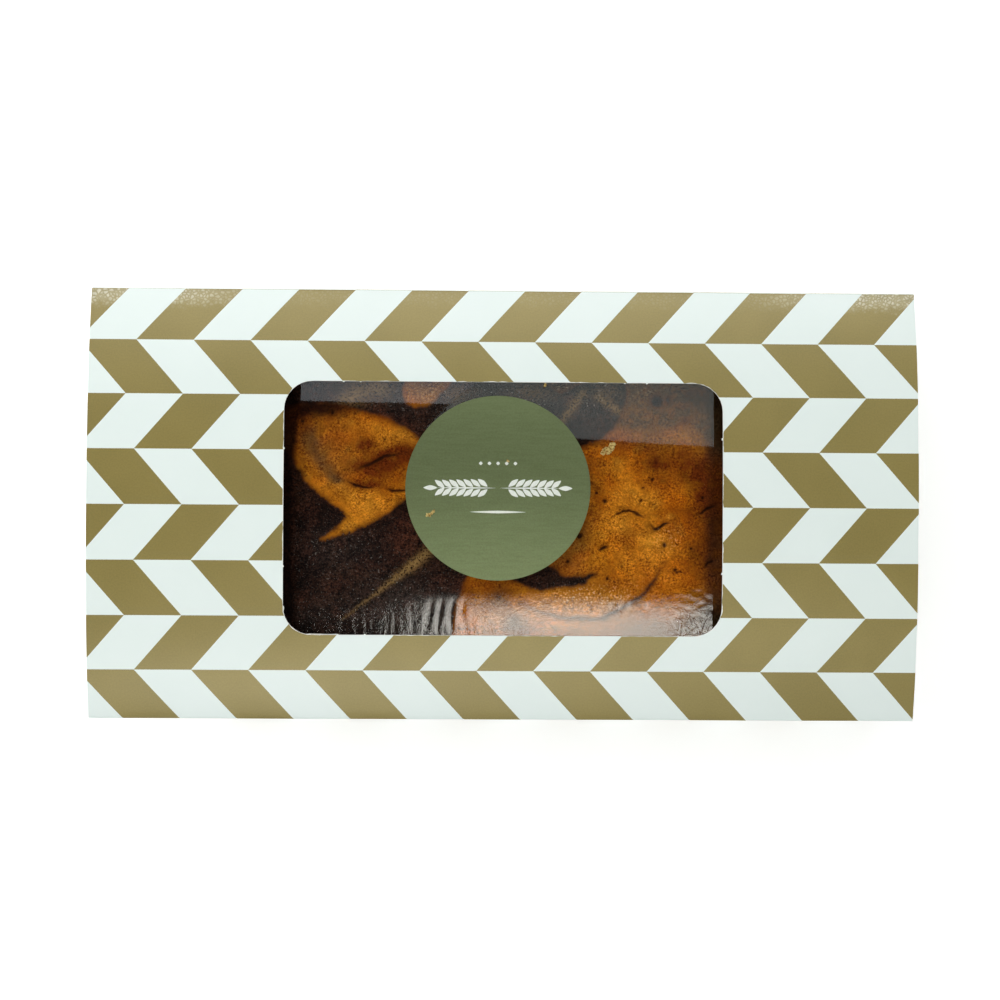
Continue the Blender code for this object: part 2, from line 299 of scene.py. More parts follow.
def smearing_and_shade(places):
    """Where a thin veil of cocoa dulls the golden crust, from 0 to 1, with painted shade in the deep front right
    corner.
    """
    spots = places + 0.9 * MM * np.stack([waves(places, 3 * MM, 37), waves(places, 3 * MM, 41)], 1)
    smear_and_shade = np.zeros(len(places))
    line = smooth_line([(-59.5, 21), (-57.5, 17.1), (-55.4, 13), (-52.4, 9.6), (-51, 8.1)])
    gap, along = distance_to(line, spots)
    smear_and_shade = np.maximum(smear_and_shade, 0.6 * np.exp(-((gap / (2.6 * MM)) ** 2)))
    smear_and_shade += 0.7 * blotch(spots, -1.5, -28.8, 3.2, 3.4, 30) + 0.8 * blotch(spots, 3.9, -36, 3.4, 2.6)
    smear_and_shade += 0.5 * blotch(spots, 22, -6, 4.5, 14) + 0.35 * blotch(spots, 17, -17, 8, 3, -30)
    smear_and_shade += 0.45 * blotch(spots, -67, 18, 4, 6) + 0.6 * blotch(spots, 67, 20, 4, 8)
    smear_and_shade += 0.4 * blotch(spots, 33, -30, 3, 2) + 1.2 * blotch(spots, 50, 34, 26, 9)
    smear_and_shade += 0.9 * blotch(spots, 64, 25, 7, 9) + 0.7 * blotch(spots, 40, 25, 16, 6)
    smear_and_shade += 0.7 * blotch(spots, -23, 36, 9, 7) + 0.9 * blotch(spots, 15, 38, 12, 7)
    # Spots at the right end: painted shade where the crust falls away by the front corner and the board's edge
    smear_and_shade += 1.0 * blotch(spots, 62, -36, 7, 8) + 0.5 * blotch(spots, 65, -15, 4, 16)
    smear_and_shade += 0.85 * blotch(spots, 45, -38, 16, 6) + 0.3 * blotch(spots, -52, 16, 8, 8)
    smear_and_shade += 0.6 * blotch(spots, -50.5, 7.2, 2.2, 1.1, -20)
    return np.clip(smear_and_shade, 0, 1)


def paleness(places):
    """Where the crust is a lighter, yellower gold, from 0 to 1."""
    spots = places + 1.5 * MM * np.stack([waves(places, 6 * MM, 43), waves(places, 6 * MM, 47)], 1)
    pale = 0.6 * blotch(spots, 34, -5.5, 5, 4) + 0.2 * blotch(spots, -45, -4, 8, 4, 30) + 0.9 * blotch(spots, 45, -10.5, 6.5, 3.6, -15)
    pale += 0.9 * blotch(spots, 50.5, -3.7, 1.3, 1.1) + 0.35 * blotch(spots, -44, 24, 13, 3.4, -14)
    pale += 0.65 * blotch(spots, -47, 3.5, 7, 2.6, -38) + 0.5 * blotch(spots, -28, 20, 5, 3, -35)
    pale += 0.5 * blotch(spots, -38, -1.5, 8, 4, 25) + 0.55 * blotch(spots, 39, 2.5, 8, 5)
    pale += 0.5 * blotch(spots, -22, 33, 6, 4) + 0.55 * blotch(spots, 22, -29, 22, 7)
    pale += 0.35 * blotch(spots, 43, -16, 9, 4) + 0.4 * np.clip(waves(places, 8 * MM, 71), 0, 1)
    return np.clip(pale, 0, 1)


def moistness_and_sheen(places):
    """Where the crust is moist against the film, from 0 to 1; there its colour gets a painted sheen and painted
    glints.
    """
    moist_and_painted_sheen = blotch(places, 24, -29, 14, 4.5) + 0.6 * blotch(places, 2, -34, 9, 5)
    moist_and_painted_sheen += 0.75 * blotch(places, -28, -32, 20, 9) + 0.4 * blotch(places, 50, -9, 8, 6)
    moist_and_painted_sheen += 0.3 * blotch(places, -60, -34, 12, 6) + 0.3 * blotch(places, -50, -14, 16, 8)
    moist_and_painted_sheen += 0.3 * blotch(places, 45, -22, 16, 9) + 0.55 * blotch(places, 5, 35, 60, 8)
    return np.clip(moist_and_painted_sheen, 0, 1)


def make_node(tree, kind, inputs=None, **settings):
    """A shader node with its settings; an input is given a value or linked from a socket."""
    node = tree.nodes.new(kind)
    for name, value in settings.items():
        setattr(node, name, value)
    for name, value in (inputs or {}).items():
        if isinstance(value, bpy.types.NodeSocket):
            tree.links.new(value, node.inputs[name])
        else:
            node.inputs[name].default_value = value
    return node


def calculate(tree, operation, *values):
    return make_node(tree, "ShaderNodeMath", dict(enumerate(values)), operation=operation).outputs[0]


def between(tree, value, low, high, to_low=0.0, to_high=1.0):
    """A value's smooth way from to_low, where it is at low, to to_high, where it is at high."""
    inputs = {"Value": value, "From Min": low, "From Max": high, "To Min": to_low, "To Max": to_high}
    return make_node(tree, "ShaderNodeMapRange", inputs, interpolation_type="SMOOTHSTEP").outputs[0]


def mix_colour(tree, factor, first, second, way="MIX"):
    """The second colour laid over the first by a factor; a colour is a socket or three numbers."""
    mixer = make_node(tree, "ShaderNodeMix", data_type="RGBA", blend_type=way)
    for socket, value in ((mixer.inputs[0], factor), (mixer.inputs[6], first), (mixer.inputs[7], second)):
        if isinstance(value, bpy.types.NodeSocket):
            tree.links.new(value, socket)
        else:
            socket.default_value = (*value, 1) if isinstance(value, tuple) else value
    return mixer.outputs[2]


def grain(tree, place, size, detail=2.0, roughness=0.5):
    """Noise from 0 to 1 with bumps of the given size in metres."""
    inputs = {"Vector": place, "Scale": 1 / size, "Detail": detail, "Roughness": roughness}
    return make_node(tree, "ShaderNodeTexNoise", inputs).outputs["Fac"]


def attribute(tree, name):
    return make_node(tree, "ShaderNodeAttribute", attribute_name=name).outputs["Fac"]


def new_material(name, **values):
    """A material with its node tree and its Principled shader, whose plain sockets are set here."""
    material = bpy.data.materials.new(name)
    material.use_nodes = True
    shader = material.node_tree.nodes["Principled BSDF"]
    for socket, value in values.items():
        shader.inputs[socket.replace("_", " ")].default_value = value
    return material, material.node_tree, shader


def bumps(tree, shader, *layers):
    """Relief on a surface from (height socket, depth in metres) pairs."""
    normal = None
    for height, depth in layers:
        inputs = {"Height": height, "Strength": 1.0, "Distance": depth}
        if normal is not None:
            inputs["Normal"] = normal
        normal = make_node(tree, "ShaderNodeBump", inputs).outputs[0]
    tree.links.new(normal, shader.inputs["Normal"])


def crust_material():
    material, tree, shader = new_material("marbled_crust")
    place = make_node(tree, "ShaderNodeTexCoord").outputs["Object"]
    fine = grain(tree, place, 0.6 * MM, 3, 0.7)
    mottle = grain(tree, place, 2.6 * MM, 3, 0.65)
    broad = grain(tree, place, 12 * MM, 2)
    # Painted shade in the crumb's fine pores: darker spots of the golden crust
    pore_shade = between(tree, grain(tree, place, 0.9 * MM, 3, 0.65), 0.57, 0.66, 1.0, 0.45)
    moist_and_painted_sheen = attribute(tree, "moist_and_painted_sheen")
    golden = mix_colour(tree, between(tree, broad, 0.35, 0.65), (0.44, 0.146, 0.0050), (0.48, 0.122, 0.0020))
    drifts = grain(tree, place, 5.5 * MM, 3, 0.6)
    golden = mix_colour(tree, between(tree, drifts, 0.53, 0.72, 0, 0.55), golden, (0.33, 0.145, 0.012))
    golden = mix_colour(tree, between(tree, drifts, 0.47, 0.28, 0, 0.45), golden, (0.34, 0.066, 0.0015))
    golden = mix_colour(tree, attribute(tree, "pale"), golden, (0.69, 0.275, 0.019))
    toast_and_shade = calculate(tree, "MULTIPLY", attribute(tree, "toast_and_shade"), between(tree, mottle, 0.2, 0.75, 0.65, 1.2))
    golden = mix_colour(tree, toast_and_shade, golden, (0.115, 0.021, 0.0010))
    smear_and_shade = calculate(tree, "MULTIPLY", attribute(tree, "smear_and_shade"), between(tree, mottle, 0.25, 0.7, 0.7, 1.1))
    golden = mix_colour(tree, smear_and_shade, golden, (0.078, 0.042, 0.015))
    golden = mix_colour(tree, 1.0, golden, between(tree, mottle, 0.3, 0.7, 0.78, 1.20), "MULTIPLY")
    tint = mix_colour(tree, between(tree, fine, 0.33, 0.67), (0.46, 0.36, 0.25), (1.62, 1.70, 1.90))
    coarse = between(tree, grain(tree, place, 4 * MM, 2), 0.36, 0.62, 0.45, 1.1)
    golden = mix_colour(tree, coarse, golden, mix_colour(tree, 1.0, golden, tint, "MULTIPLY"))
    golden = mix_colour(tree, coarse, golden, mix_colour(tree, 1.0, golden, pore_shade, "MULTIPLY"))
    cocoa = mix_colour(tree, between(tree, broad, 0.40, 0.62), (0.0085, 0.0030, 0.0015), (0.020, 0.0075, 0.0035))
    # Painted sheen: moist cocoa is lightened and greyed as if it shone
    cocoa = mix_colour(tree, moist_and_painted_sheen, cocoa, (0.023, 0.0170, 0.0145))
    cocoa = mix_colour(tree, attribute(tree, "toast_and_shade"), cocoa, (0.042, 0.013, 0.0065))
    cocoa = mix_colour(tree, 1.0, cocoa, between(tree, mottle, 0.3, 0.7, 0.5, 1.5), "MULTIPLY")
    cocoa = mix_colour(tree, 1.0, cocoa, between(tree, fine, 0.34, 0.66, 0.15, 2.2), "MULTIPLY")
    # Light specks in the cocoa: partly its own speckle, and more where it is moist as painted sparkle
    specks_and_sheen = between(tree, grain(tree, place, 0.5 * MM, 2, 0.6), 0.60, 0.70)
    cocoa = mix_colour(tree, calculate(tree, "MULTIPLY", specks_and_sheen, between(tree, moist_and_painted_sheen, 0, 0.6, 0.3, 0.9)), cocoa,
                       (0.125, 0.108, 0.092))
    # Painted sparkle: small bright points in the moist cocoa
    painted_sparkles = between(tree, grain(tree, place, 0.75 * MM, 2, 0.55), 0.665, 0.70)
    cocoa = mix_colour(tree, calculate(tree, "MULTIPLY", painted_sparkles, moist_and_painted_sheen), cocoa, (0.42, 0.40, 0.36))
    streak = calculate(tree, "MULTIPLY", attribute(tree, "streak"), between(tree, fine, 0.36, 0.54))
    cocoa = mix_colour(tree, streak, cocoa, (0.29, 0.170, 0.056))
    jitter = calculate(tree, "MULTIPLY_ADD", fine, 2.4, -1.2)
    depth = calculate(tree, "ADD", attribute(tree, "cocoa"), jitter)
    share = between(tree, depth, -0.6, 0.6)
    rim = calculate(tree, "MULTIPLY", between(tree, depth, -1.8, -0.1), 0.45)
    golden = mix_colour(tree, rim, golden, (0.080, 0.020, 0.002))
    crust = mix_colour(tree, share, golden, cocoa)
    # Painted shade: the crust is darkened where the shade attribute says
    shade = between(tree, attribute(tree, "shade"), 0, 1, 1.0, 0.14)
    crust = mix_colour(tree, 1.0, crust, shade, "MULTIPLY")
    # Painted shade inside the splits and pin holes: the crust turns nearly black there
    ragged = calculate(tree, "MULTIPLY_ADD", fine, 0.6, calculate(tree, "SUBTRACT", attribute(tree, "split"), 0.3))
    crust = mix_colour(tree, between(tree, ragged, 0.22, 0.85, 0.0, 0.92), crust, (0.018, 0.005, 0.001))
    # Painted glints: pale points where the golden crust is moist
    points = between(tree, grain(tree, place, 0.6 * MM, 2, 0.6), 0.58, 0.66)
    glint_strength = calculate(tree, "MULTIPLY_ADD", moist_and_painted_sheen, 1.3, calculate(tree, "MULTIPLY_ADD", share, -0.9, -0.35))
    painted_glints = calculate(tree, "MULTIPLY", points, glint_strength)
    painted_glints = make_node(tree, "ShaderNodeClamp", {0: painted_glints}).outputs[0]
    crust = mix_colour(tree, painted_glints, crust, (0.80, 0.62, 0.36))
    tree.links.new(crust, shader.inputs["Base Color"])
    tree.links.new(between(tree, fine, 0.3, 0.7, 0.70, 0.45), shader.inputs["Roughness"])
    tree.links.new(between(tree, moist_and_painted_sheen, 0, 1, 0.03, 0.12), shader.inputs["Specular IOR Level"])
    bumps(tree, shader, (mottle, 0.30 * MM), (fine, 0.16 * MM))
    return material


def place_piece(name, mesh, *materials):
    piece = bpy.data.objects.new(name, mesh)
    bpy.context.scene.collection.objects.link(piece)
    for material in materials:
        mesh.materials.append(material)
    return piece


def make_loaf():
    across = grid_lines(LOAF_HALF_LENGTH, CRUST_SEEN_X, CRUST_CELLS[0])
    along = grid_lines(LOAF_HALF_WIDTH, CRUST_SEEN_Y, CRUST_CELLS[1])
    bm = bmesh.new()
    bmesh.ops.create_grid(bm, x_segments=len(across) - 1, y_segments=len(along) - 1, size=1)
    u, v = np.array([vert.co[:2] for vert in bm.verts]).T
    x = across[np.rint((u + 1) / 2 * (len(across) - 1)).astype(int)] / LOAF_HALF_LENGTH
    y = along[np.rint((v + 1) / 2 * (len(along) - 1)).astype(int)] / LOAF_HALF_WIDTH
    reach = np.maximum(np.abs(x), np.abs(y))
    corner = np.maximum((np.abs(x) ** 8 + np.abs(y) ** 8) ** 0.125, 1e-9)
    shrink = 1 + (reach / corner - 1) * reach**2
    edge = reach**12
    places = np.stack([x * shrink * LOAF_HALF_LENGTH, y * shrink * LOAF_HALF_WIDTH], 1) * 0.985
    heights = crust_height(places) - 5 * MM * edge
    for vert, (place_x, place_y), height in zip(bm.verts, places, heights):
        vert.co = (place_x, place_y, height)
    rim = [e for e in bm.edges if e.is_boundary]
    shoulder = loaf_low.z + 50 * MM
    for ring in range(SIDE_RINGS):
        swept = bmesh.ops.extrude_edge_only(bm, edges=rim)["geom"]
        rim = [part for part in swept if isinstance(part, bmesh.types.BMEdge)]
        verts = [part for part in swept if isinstance(part, bmesh.types.BMVert)]
        level = 1 - (ring + 1) / SIDE_RINGS
        for vert in verts:
            if ring == 0:
                vert.co = Vector((vert.co.x * 1.01, vert.co.y * 1.014, min(vert.co.z - 2 * MM, shoulder)))
            else:
                narrow = (1 - TIN_TAPER / SIDE_RINGS)
                drop = loaf_low.z + (vert.co.z - loaf_low.z) * level / (level + 1 / SIDE_RINGS)
                vert.co = Vector((vert.co.x * narrow, vert.co.y * narrow, drop))
    bmesh.ops.contextual_create(bm, geom=rim)
    bmesh.ops.recalc_face_normals(bm, faces=bm.faces)
    mesh = bpy.data.meshes.new("loaf")
    bm.to_mesh(mesh)
    bm.free()
    mesh.shade_smooth()
    places = np.array([vert.co[:2] for vert in mesh.vertices])
    for name, values in (("cocoa", cocoa_depth(places)), ("toast_and_shade", toasting_and_shade(places)),
                         ("smear_and_shade", smearing_and_shade(places)), ("pale", paleness(places)),
                         ("shade", painted_shading(places)), ("split", split_depth(places)), ("streak", streaking(places)),
                         ("moist_and_painted_sheen", moistness_and_sheen(places))):
        mesh.attributes.new(name, "FLOAT", "POINT").data.foreach_set("value", values.astype(np.float32))
    return place_piece("loaf", mesh, crust_material())


loaf = make_loaf()
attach(loaf, "root")
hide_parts("cake")


# Carton sleeve
# One blank of white coated board, 0.5 mm thick, printed with a satin gold chevron and die-cut
# with a window. It is creased, folded round the loaf and glued along the bottom at the back.

carton_low, carton_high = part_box("carton")
HALF_LENGTH = carton_high.x
HALF_WIDTH = 65.25 * MM
WALL_HEIGHT = 62 * MM
ARCH_RISE = 9.1 * MM
ARCH_FULLNESS = 0.305           # share of the rise that lies close to the creases
BOARD = 0.5 * MM
CREASE_RADIUS = 1.0 * MM
END_RECESS = 0.8 * MM           # how far the end panels stand inside the ends of the walls
END_FOLD = 1.0 * MM
SEAM_GAP = 0.15 * MM
WINDOW_X = (-66.2 * MM, 65.8 * MM)
WINDOW_Y = (-39.5 * MM, 36.9 * MM)
WINDOW_CORNER = 8.5 * MM
CORNER_STEPS = 8
# Stubs of board left by the die at the window's edge: the side, the place along it and the size
NICKS = [
    ("right", 20.1, 0.5), ("right", -20.5, 0.45), ("left", 16.5, 0.4), ("left", -18.9, 0.35),
    ("left", -31.2, 0.5), ("back", -48.4, 0.4), ("back", -43.3, 0.35), ("back", 36.3, 0.35),
    ("back", 43, 0.4), ("front", -58.1, 0.4), ("front", -49.7, 0.3), ("front", -41.6, 0.4),
]
# Chevron, in millimetres on the flat blank, measured from the crown of the top panel
ROW = 16.66
ROW_START = -50.54
CELL = 17.15
SLANT = 14.42
CELL_START = -110.94


def drop(y):
    """How far the top panel has fallen below its crown at a distance y from the middle."""
    t = y / HALF_WIDTH
    return ARCH_RISE * ((1 - ARCH_FULLNESS) * t**2 + ARCH_FULLNESS * t**4)


def slope(y):
    """Angle of the top panel at y, from level."""
    t = y / HALF_WIDTH
    return math.atan(ARCH_RISE / HALF_WIDTH * (2 * (1 - ARCH_FULLNESS) * t + 4 * ARCH_FULLNESS * t**3))


def arch_point(y, inset):
    """A point of the top panel, moved into the carton by inset along the normal."""
    angle = slope(y)
    return y - inset * math.sin(angle), WALL_HEIGHT + ARCH_RISE - drop(y) - inset * math.cos(angle)


def bend(y, z, radius, start, end, steps=6):
    """Points of a fold about (y, z), between two angles."""
    angles = np.linspace(start, end, steps + 1)
    return [(y + radius * math.cos(a), z + radius * math.sin(a)) for a in angles]


def sleeve_section():
    """The printed face as (y, z), from the glued edge under the back, round by the front, over the
    top and down the back wall."""
    side = HALF_WIDTH - CREASE_RADIUS
    arch_end = side + CREASE_RADIUS * math.sin(slope(HALF_WIDTH))
    crease_y, crease_z = arch_point(arch_end, CREASE_RADIUS)
    lean = math.pi / 2 - slope(arch_end)
    bottom = [(side + CREASE_RADIUS - BOARD - SEAM_GAP, 0)]
    bottom += bend(-side, CREASE_RADIUS, CREASE_RADIUS, -math.pi / 2, -math.pi)
    front = bend(-crease_y, crease_z, CREASE_RADIUS, math.pi, math.pi - lean)
    top = [arch_point(y, 0) for y in np.linspace(-arch_end, arch_end, 61)[1:-1]]
    back = bend(crease_y, crease_z, CREASE_RADIUS, lean, 0)
    return np.array(bottom + front + top + back + [(crease_y + CREASE_RADIUS, 0.1 * MM)])


section = sleeve_section()
steps_round = np.hypot(*np.diff(section, axis=0).T)
round_place = np.concatenate([[0], np.cumsum(steps_round)])
round_place -= np.interp(0, section[20:-8, 0], round_place[20:-8])


def fold(x, s):
    """Where a point of the flat blank comes on the folded sleeve, with its slight hollows."""
    y = np.interp(s, round_place, section[:, 0])
    z = np.interp(s, round_place, section[:, 1])
    ahead = np.interp(s + 0.3 * MM, round_place, section[:, 0]), np.interp(s + 0.3 * MM, round_place, section[:, 1])
    behind = np.interp(s - 0.3 * MM, round_place, section[:, 0]), np.interp(s - 0.3 * MM, round_place, section[:, 1])
    run = Vector((0, ahead[0] - behind[0], ahead[1] - behind[1]))
    outward = Vector((1, 0, 0)).cross(run).normalized()
    wall = 0.5 * MM * math.sin(math.pi * min(1, max(0, z / WALL_HEIGHT))) * abs(outward.y)
    hollow = 0.06 * MM * (1 + noise.noise(Vector((x / (34 * MM), s / (27 * MM), 5))))
    return Vector((x, y, z)) - outward * (wall + hollow * min(1, z / (8 * MM)))


def blank_outline():
    """The blank as (x, s): the bottom panel stops short of the walls where the end panels fold."""
    hinge = HALF_LENGTH - END_RECESS - END_FOLD
    start, end = round_place[0], round_place[-1]
    corner = round_place[1]
    right = [(hinge, start), (hinge, corner), (HALF_LENGTH, corner), (HALF_LENGTH, end)]
    return right + [(-x, s) for x, s in reversed(right)]


def nick(side, place, size):
    """Points of a small stub of board that stands into the window."""
    steps = (-0.9 * size, -0.6 * size, 0.5 * size, 0.8 * size)
    reach = (0, 0.8 * size, 0.6 * size, 0)
    if side in ("left", "right"):
        sign, edge = (1, WINDOW_X[0]) if side == "left" else (-1, WINDOW_X[1])
        return [(edge + sign * out * MM, (place + step) * MM) for step, out in zip(steps, reach)]
    sign, edge = (1, WINDOW_Y[0]) if side == "front" else (-1, WINDOW_Y[1])
    return [((place + step) * MM, edge + sign * out * MM) for step, out in zip(steps, reach)]


def window_outline():
    """The window as (x, y), with round corners and the stubs along its sides."""
    left, right = WINDOW_X[0] + WINDOW_CORNER, WINDOW_X[1] - WINDOW_CORNER
    front, back = WINDOW_Y[0] + WINDOW_CORNER, WINDOW_Y[1] - WINDOW_CORNER
    points = []
    corners = ((right, back, "back", 0), (left, back, "left", 1), (left, front, "front", 2),
               (right, front, "right", 3))
    for x, y, side, quarter in corners:
        points += bend(x, y, WINDOW_CORNER, quarter * math.pi / 2, (quarter + 1) * math.pi / 2, CORNER_STEPS)
        stubs = [point for at, place, size in NICKS if at == side for point in nick(at, place, size)]
        order = {"back": lambda p: -p[0], "left": lambda p: -p[1], "front": lambda p: p[0],
                 "right": lambda p: p[1]}[side]
        points += sorted(stubs, key=order)
    return points


def outline_edges(bm, points):
    verts = [bm.verts.new((x, y, 0)) for x, y in points]
    return [bm.edges.new(pair) for pair in zip(verts, verts[1:] + verts[:1])]


def cut_lines(bm, places, direction):
    """Divides a flat blank along lines, so that it can bend there."""
    for place in places:
        everything = bm.verts[:] + bm.edges[:] + bm.faces[:]
        bmesh.ops.bisect_plane(bm, geom=everything, dist=1e-7, plane_co=Vector(direction) * place,
                               plane_no=direction)


def board_thickness(piece, thickness, inner=1, rim=2):
    """Gives a sheet its thickness on the inner side, with its own faces inside and at the cut edge."""
    wall = piece.modifiers.new("Board", "SOLIDIFY")
    wall.thickness = thickness
    wall.offset = -1
    wall.material_offset = inner
    wall.material_offset_rim = rim
    bpy.context.view_layer.update()
    evaluated = piece.evaluated_get(bpy.context.evaluated_depsgraph_get())
    mesh = bpy.data.meshes.new_from_object(evaluated)
    piece.modifiers.clear()
    piece.data = mesh
    mesh.set_sharp_from_angle(angle=math.radians(40))


def print_material():
    """Coated board: a zigzag of gold cells, whose sides lean one way and then the other, row by row."""
    material, tree, shader = new_material("chevron_print", Specular_IOR_Level=0.8)
    flat = make_node(tree, "ShaderNodeUVMap", uv_map="blank").outputs[0]
    axes = make_node(tree, "ShaderNodeSeparateXYZ", {0: flat}).outputs
    ragged = calculate(tree, "MULTIPLY_ADD", grain(tree, flat, 0.35, 2), 0.10, -0.05)
    across = calculate(tree, "ADD", axes[0], ragged)
    up = calculate(tree, "ADD", axes[1], ragged)
    row = calculate(tree, "DIVIDE", calculate(tree, "SUBTRACT", up, ROW_START), ROW)
    lean = calculate(tree, "PINGPONG", row, 1.0)
    odd = calculate(tree, "FLOORED_MODULO", calculate(tree, "FLOOR", row), 2.0)
    cell = calculate(tree, "MULTIPLY_ADD", lean, -SLANT, calculate(tree, "SUBTRACT", across, CELL_START))
    cell = calculate(tree, "DIVIDE", calculate(tree, "MULTIPLY_ADD", odd, CELL, cell), 2 * CELL)
    gold = calculate(tree, "LESS_THAN", calculate(tree, "FRACT", cell), 0.5)
    cloud = grain(tree, flat, 22, 2)
    tooth = grain(tree, flat, 0.5, 2)
    crackle = make_node(tree, "ShaderNodeTexVoronoi", {"Vector": flat, "Scale": 0.9, "Randomness": 1.0},
                        feature="DISTANCE_TO_EDGE").outputs["Distance"]
    # Near the back crease towards the corners the ink is cracked, and the cracked ink carries a painted highlight in
    # pale gold
    near_crease = between(tree, calculate(tree, "MULTIPLY_ADD", grain(tree, flat, 2.5, 3), 5.0, up), 61.5, 66.5)
    off_centre = between(tree, calculate(tree, "ABSOLUTE", axes[0]), 72, 104, 0.12, 1.0)
    on_top = calculate(tree, "LESS_THAN", axes[1], 68.5)
    crease_wear_and_glint = calculate(tree, "MULTIPLY", calculate(tree, "MULTIPLY", near_crease, off_centre), on_top)
    ink = mix_colour(tree, between(tree, cloud, 0.3, 0.7), (0.270, 0.210, 0.052), (0.292, 0.227, 0.058))
    ink = mix_colour(tree, 1.0, ink, between(tree, tooth, 0.3, 0.7, 0.94, 1.06), "MULTIPLY")
    cracked_ink_and_glint = calculate(tree, "MULTIPLY", crease_wear_and_glint, between(tree, crackle, 0.02, 0.3, 0.25, 0.95))
    ink = mix_colour(tree, cracked_ink_and_glint, ink, (0.66, 0.62, 0.46))
    board = mix_colour(tree, between(tree, cloud, 0.3, 0.7), (0.838, 0.930, 0.893), (0.852, 0.940, 0.905))
    printed = mix_colour(tree, gold, board, ink)
    # A thin ragged rim along the window's cut edge, whiter than the board: a painted highlight
    from_window = []
    for coordinate, (start, end) in zip(axes, (WINDOW_X, WINDOW_Y)):
        offset = calculate(tree, "SUBTRACT", coordinate, (start + end) / 2 / MM)
        flat_part = (end - start) / 2 / MM - WINDOW_CORNER / MM
        from_window.append(calculate(tree, "SUBTRACT", calculate(tree, "ABSOLUTE", offset), flat_part))
    rounded = [calculate(tree, "MAXIMUM", part, 0.0) for part in from_window]
    squares = [calculate(tree, "POWER", part, 2.0) for part in rounded]
    gap = calculate(tree, "SQRT", calculate(tree, "ADD", *squares))
    edge_highlight_reach = calculate(tree, "MULTIPLY_ADD", grain(tree, flat, 3, 3), 0.9, WINDOW_CORNER / MM - 0.3)
    edge_highlight = calculate(tree, "LESS_THAN", gap, edge_highlight_reach)
    tree.links.new(mix_colour(tree, edge_highlight, printed, (0.93, 0.95, 0.90)), shader.inputs["Base Color"])
    tree.links.new(calculate(tree, "MULTIPLY", gold, 0.15), shader.inputs["Metallic"])
    sheen = mix_colour(tree, gold, (0.40, 0.40, 0.40), between(tree, crease_wear_and_glint, 0, 1, 0.36, 0.28))
    tree.links.new(sheen, shader.inputs["Roughness"])
    creased = calculate(tree, "MULTIPLY", calculate(tree, "MULTIPLY", crackle, crease_wear_and_glint), gold)
    bumps(tree, shader, (tooth, 0.012 * MM), (creased, 0.25 * MM))
    return material


def plain_board_material(name, colour, speckle):
    """Unprinted board: the grey-white inside of the carton, or its cut edge."""
    material, tree, shader = new_material(name, Roughness=0.75, Specular_IOR_Level=0.25)
    place = make_node(tree, "ShaderNodeTexCoord").outputs["Object"]
    fibre = grain(tree, place, speckle, 3)
    shade = between(tree, fibre, 0.3, 0.7, 0.88, 1.06)
    tree.links.new(mix_colour(tree, 1.0, colour, shade, "MULTIPLY"), shader.inputs["Base Color"])
    bumps(tree, shader, (fibre, 0.03 * MM))
    return material


board_materials = (
    print_material(),
    plain_board_material("board_inside", (0.66, 0.64, 0.58), 0.8 * MM),
    plain_board_material("board_cut_edge", (0.86, 0.86, 0.82), 0.3 * MM),
)


def blank_map(bm, place_on_blank):
    """Writes the flat blank's own millimetres into the print's map."""
    layer = bm.loops.layers.uv.new("blank")
    for face in bm.faces:
        for loop in face.loops:
            loop[layer].uv = place_on_blank(loop.vert.co)


def make_sleeve():
    bm = bmesh.new()
    edges = outline_edges(bm, blank_outline())
    top = slice(12, len(section) - 6)
    window = [(x, np.interp(y, section[top, 0], round_place[top])) for x, y in window_outline()]
    edges += outline_edges(bm, window)
    bmesh.ops.triangle_fill(bm, use_beauty=True, use_dissolve=False, edges=edges)
    cut_lines(bm, round_place[1:-1], (0, 1, 0))
    wall = np.linspace(8 * MM, 54 * MM, 6)
    cut_lines(bm, round_place[-1] - wall, (0, 1, 0))
    cut_lines(bm, round_place[7] + wall, (0, 1, 0))
    cut_lines(bm, np.arange(-120, 121, 10) * MM, (1, 0, 0))
    if sum(face.normal.z for face in bm.faces) < 0:
        bmesh.ops.reverse_faces(bm, faces=bm.faces)
    blank_map(bm, lambda co: (co.x / MM, co.y / MM))
    for vert in bm.verts:
        vert.co = fold(vert.co.x, vert.co.y)
    mesh = bpy.data.meshes.new("carton_sleeve")
    bm.to_mesh(mesh)
    bm.free()
    mesh.shade_smooth()
    sleeve = place_piece("carton_sleeve", mesh, *board_materials)
    board_thickness(sleeve, BOARD)
    return sleeve


sleeve = make_sleeve()
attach(sleeve, "root")
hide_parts("carton")


# Carton ends
# The same printed board: a panel at each end, hinged on the bottom panel, whose top is cut to the
# arch. It stands just inside the raw ends of the walls and is glued to the flaps behind it.

END_CLEARANCE = 0.35 * MM
ARCH_CUTS = 24


